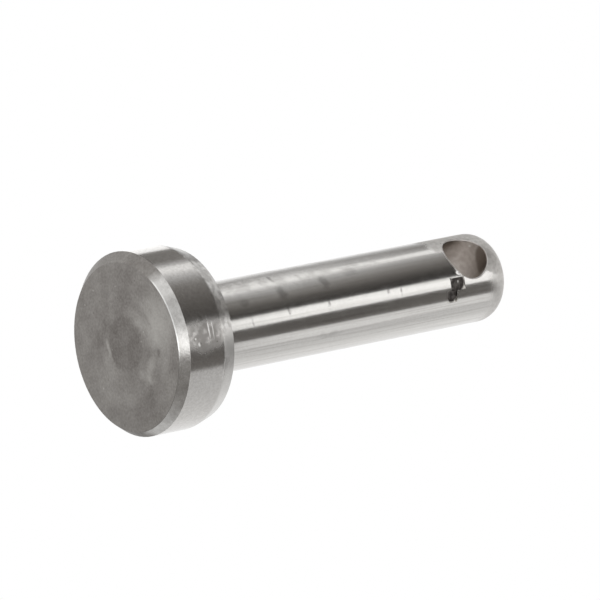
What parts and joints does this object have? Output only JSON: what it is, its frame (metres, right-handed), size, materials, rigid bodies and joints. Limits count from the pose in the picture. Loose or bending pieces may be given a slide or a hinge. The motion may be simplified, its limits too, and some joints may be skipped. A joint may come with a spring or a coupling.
{
  "type": "connector pin",
  "caption": "Headed steel connector pin with a bevelled disc head, a plain round shaft, a rounded end and a cross hole near that end for a retaining clip.",
  "frame": {"origin": "centre of the head's flat outer face, on which the pin stands", "axes": "+Z along the pin from the head to the rounded end; X along the cross hole"},
  "size_m": [0.013, 0.013, 0.032],
  "materials": {
    "turned_steel": "turned and drawn steel: bright worn shaft and head rim, dull machined outer face"
  },
  "bodies": {
    "root": {"connector_pin": "turned_steel"}
  },
  "joints": []
}
